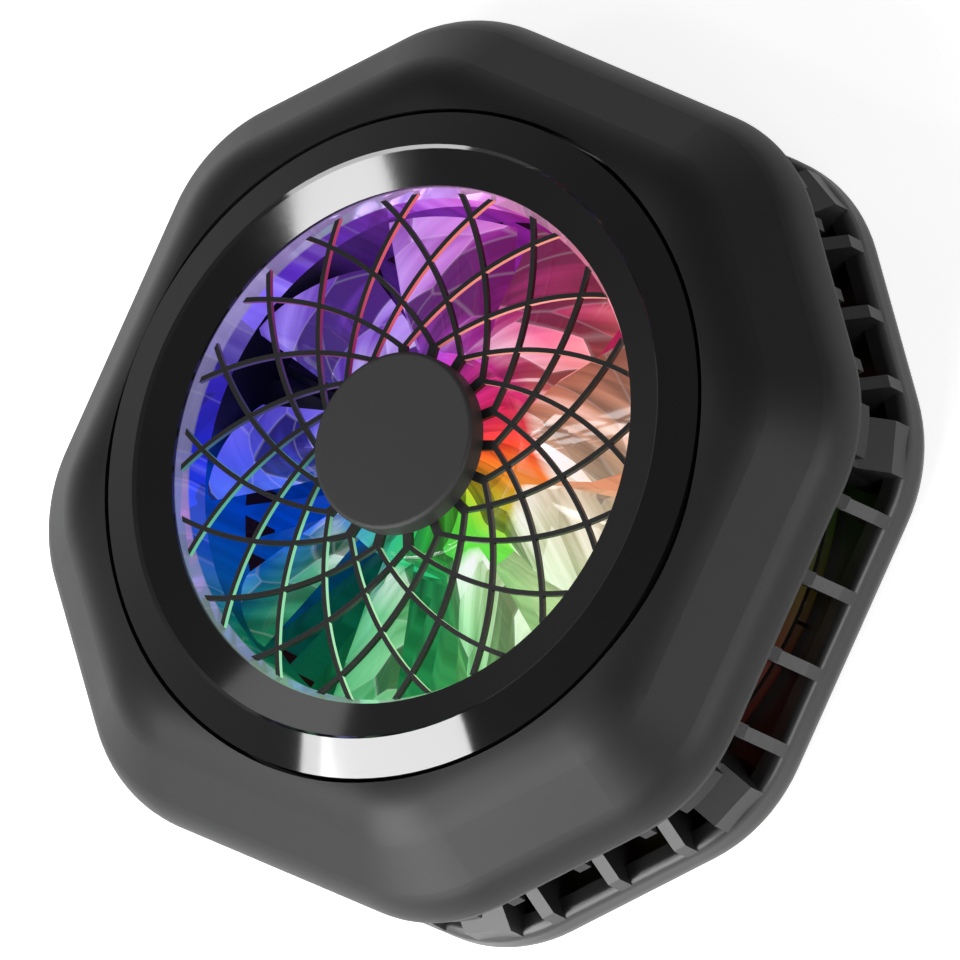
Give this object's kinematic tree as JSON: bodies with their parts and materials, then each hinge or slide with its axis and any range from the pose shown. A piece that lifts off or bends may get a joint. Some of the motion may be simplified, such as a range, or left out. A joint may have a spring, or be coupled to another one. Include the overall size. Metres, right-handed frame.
{
  "type": "phone cooling fan",
  "caption": "Soft-edged octagonal clip-free cooler that holds to a phone by magnets, with a lit fan behind a crossed-wire grille.",
  "frame": {"origin": "middle of the rear contact face, on the fan's axis", "axes": "+Z along the fan's axis from the contact face to the front grille, X and Y square to the octagon's long sides, power socket on the -Y side"},
  "size_m": [0.066, 0.066, 0.0229],
  "materials": {
    "cover_black": "fine matt, soft sheen",
    "trim_black": "polished",
    "grille_grey": "satin",
    "cap_grey": "matt",
    "light_clear": "frosted clear",
    "board_green": "solder mask",
    "led_white": "clear lens",
    "frame_black": "moulded",
    "blade_clear": "clear, polished",
    "steel": "plain",
    "ferrite": "sintered",
    "bronze": "sintered",
    "copper": "enamelled wire",
    "sink_black": "anodised",
    "ceramic": "opaque ceramic",
    "pellet_metal": "cast",
    "foam": "foam",
    "plate_bare": "brushed",
    "pad_rubber": "silicone",
    "magnet_metal": "nickel plated",
    "chip_black": "moulded",
    "tongue_black": "moulded",
    "screw_black": "black zinc"
  },
  "bodies": {
    "housing": {"front_cover": "cover_black", "rear_cover": "cover_black", "trim_ring": "trim_black", "grille": "grille_grey", "hub_cap": "cap_grey", "light_ring": "light_clear", "led_board": "board_green", "leds": "led_white", "fan_frame": "frame_black", "bearing": "bronze", "stator_core": "steel", "stator_coils": "copper", "motor_board": "board_green", "heat_sink": "sink_black", "hot_ceramic": "ceramic", "pellets": "pellet_metal", "cold_ceramic": "ceramic", "insulation_frame": "foam", "cold_plate": "plate_bare", "contact_pad": "pad_rubber", "magnets": "magnet_metal", "shunt_ring": "steel", "control_board": "board_green", "board_chips": "chip_black", "socket_shell": "steel", "socket_tongue": "tongue_black", "housing_screws": "screw_black", "sink_screws": "steel", "fan_screws": "steel"},
    "rotor": {"impeller": "blade_clear", "rotor_yoke": "steel", "rotor_magnet": "ferrite", "shaft": "steel", "retaining_clip": "steel"}
  },
  "joints": [
    {"name": "fan_spin", "type": "hinge", "parent": "housing", "child": "rotor", "pos_m": [0, 0, 0.0143], "axis": [0, 0, 1], "continuous": true}
  ]
}
